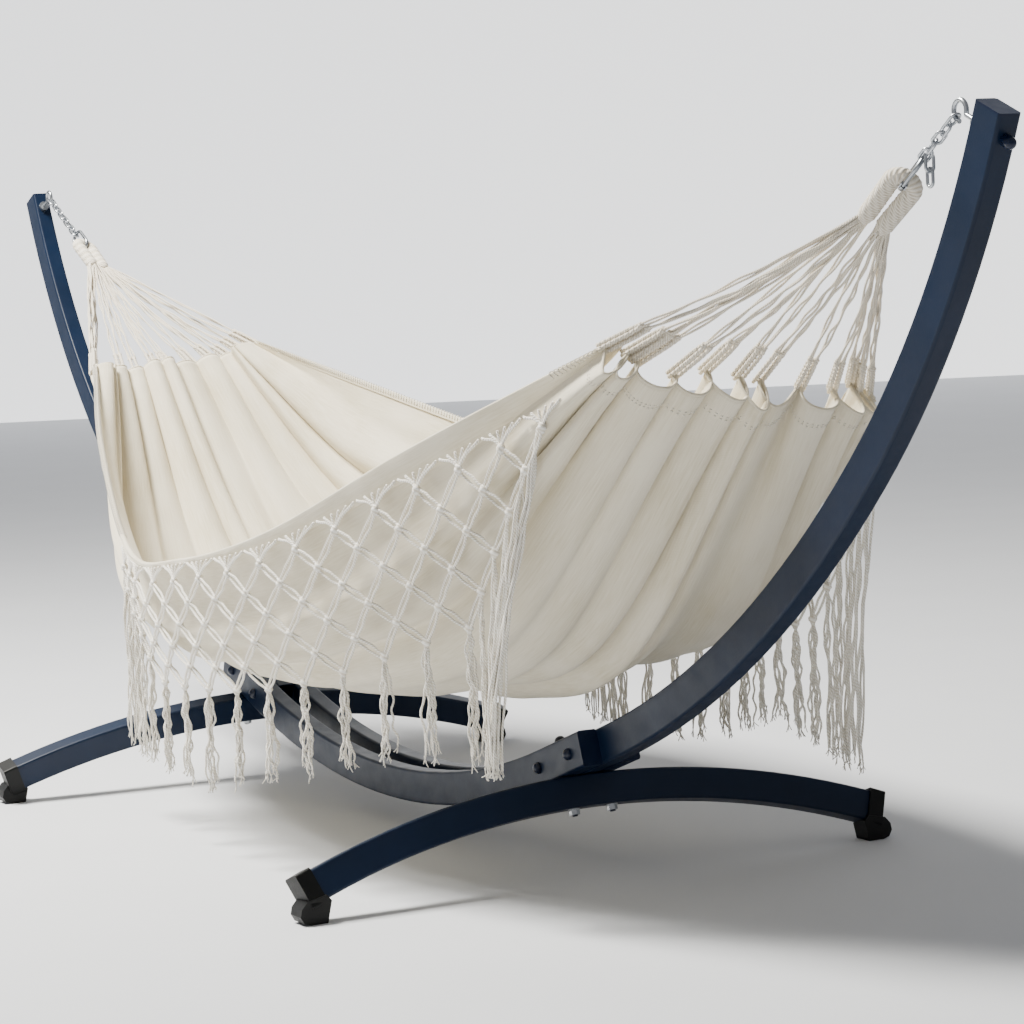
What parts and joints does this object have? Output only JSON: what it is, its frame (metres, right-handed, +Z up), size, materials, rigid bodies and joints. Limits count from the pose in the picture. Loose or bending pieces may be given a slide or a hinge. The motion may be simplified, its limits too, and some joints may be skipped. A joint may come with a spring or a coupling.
{
  "type": "hammock on stand",
  "caption": "Wide cotton hammock with knotted net fringes, hung by chains and carabiners from a curved steel tube stand on two arched feet.",
  "frame": {"origin": "on the floor, under the middle of the stand", "axes": "+X along the hammock and the beam, +Y across them, +Z up"},
  "size_m": [3.2168, 0.935, 1.0235],
  "materials": {
    "blue_powder_coat": "satin powder coat, dark slate blue",
    "blue_plastic": "moulded plastic coloured to match the coat",
    "black_plastic": "moulded black plastic, fine texture",
    "blue_fasteners": "painted domed heads and cap nuts",
    "zinc_steel": "bright zinc plate",
    "carabiner_steel": "zinc plate, slightly darker",
    "cotton_canvas": "natural ivory cotton canvas",
    "cotton_rope": "natural twisted and braided cotton cord",
    "cotton_fringe": "natural cotton string, knotted"
  },
  "bodies": {
    "stand": {"arm_cap_left": "blue_plastic", "arm_cap_right": "blue_plastic", "arm_left": "blue_powder_coat", "arm_right": "blue_powder_coat", "foot_bolts_left": "blue_fasteners", "foot_bolts_right": "blue_fasteners", "foot_cap_left_far": "black_plastic", "foot_cap_left_near": "black_plastic", "foot_cap_right_far": "black_plastic", "foot_cap_right_near": "black_plastic", "foot_nuts_left": "zinc_steel", "foot_nuts_right": "zinc_steel", "foot_tube_left": "blue_powder_coat", "foot_tube_right": "blue_powder_coat", "hook_collar_left": "zinc_steel", "hook_collar_right": "zinc_steel", "hook_left": "zinc_steel", "hook_nut_left": "blue_fasteners", "hook_nut_right": "blue_fasteners", "hook_right": "zinc_steel", "joint_bolts_left": "blue_fasteners", "joint_bolts_right": "blue_fasteners", "joint_nuts_left": "blue_fasteners", "joint_nuts_right": "blue_fasteners", "side_tube_far": "blue_powder_coat", "side_tube_near": "blue_powder_coat", "side_tube_plugs_far": "blue_plastic", "side_tube_plugs_near": "blue_plastic"},
    "hammock": {"carabiner_left": "carabiner_steel", "carabiner_right": "carabiner_steel", "chain_left": "zinc_steel", "chain_right": "zinc_steel", "cords_left": "cotton_rope", "cords_right": "cotton_rope", "end_loop_left": "cotton_rope", "end_loop_right": "cotton_rope", "fabric_bed": "cotton_canvas", "fringe_net_far": "cotton_fringe", "fringe_net_near": "cotton_fringe", "tabs_left": "cotton_rope", "tabs_right": "cotton_rope", "tassels_far": "cotton_fringe", "tassels_near": "cotton_fringe"},
    "gate_right": {"carabiner_gate_right": "carabiner_steel"},
    "gate_left": {"carabiner_gate_left": "carabiner_steel"},
    "spare_chain": {"chain_tail": "zinc_steel"}
  },
  "joints": [
    {"name": "hammock_swing", "type": "hinge", "parent": "stand", "child": "hammock", "pos_m": [0, 0, 1.0023], "axis": [1, 0, 0], "range_deg": [-12, 12]},
    {"name": "gate_right_pivot", "type": "hinge", "parent": "hammock", "child": "gate_right", "pos_m": [1.40895, -0.00919, 0.92977], "axis": [0.3923, 0.7071, -0.5883], "range_deg": [0, 22], "stiffness_Nm_per_rad": 0.02},
    {"name": "gate_left_pivot", "type": "hinge", "parent": "hammock", "child": "gate_left", "pos_m": [-1.34497, -0.00445, 0.90476], "axis": [0.1632, -0.9397, 0.3006], "range_deg": [0, 22], "stiffness_Nm_per_rad": 0.02},
    {"name": "spare_chain_swing", "type": "hinge", "parent": "hammock", "child": "spare_chain", "pos_m": [1.44245, 0.00389, 0.95848], "axis": [1, 0, 0], "range_deg": [-25, 25]}
  ]
}
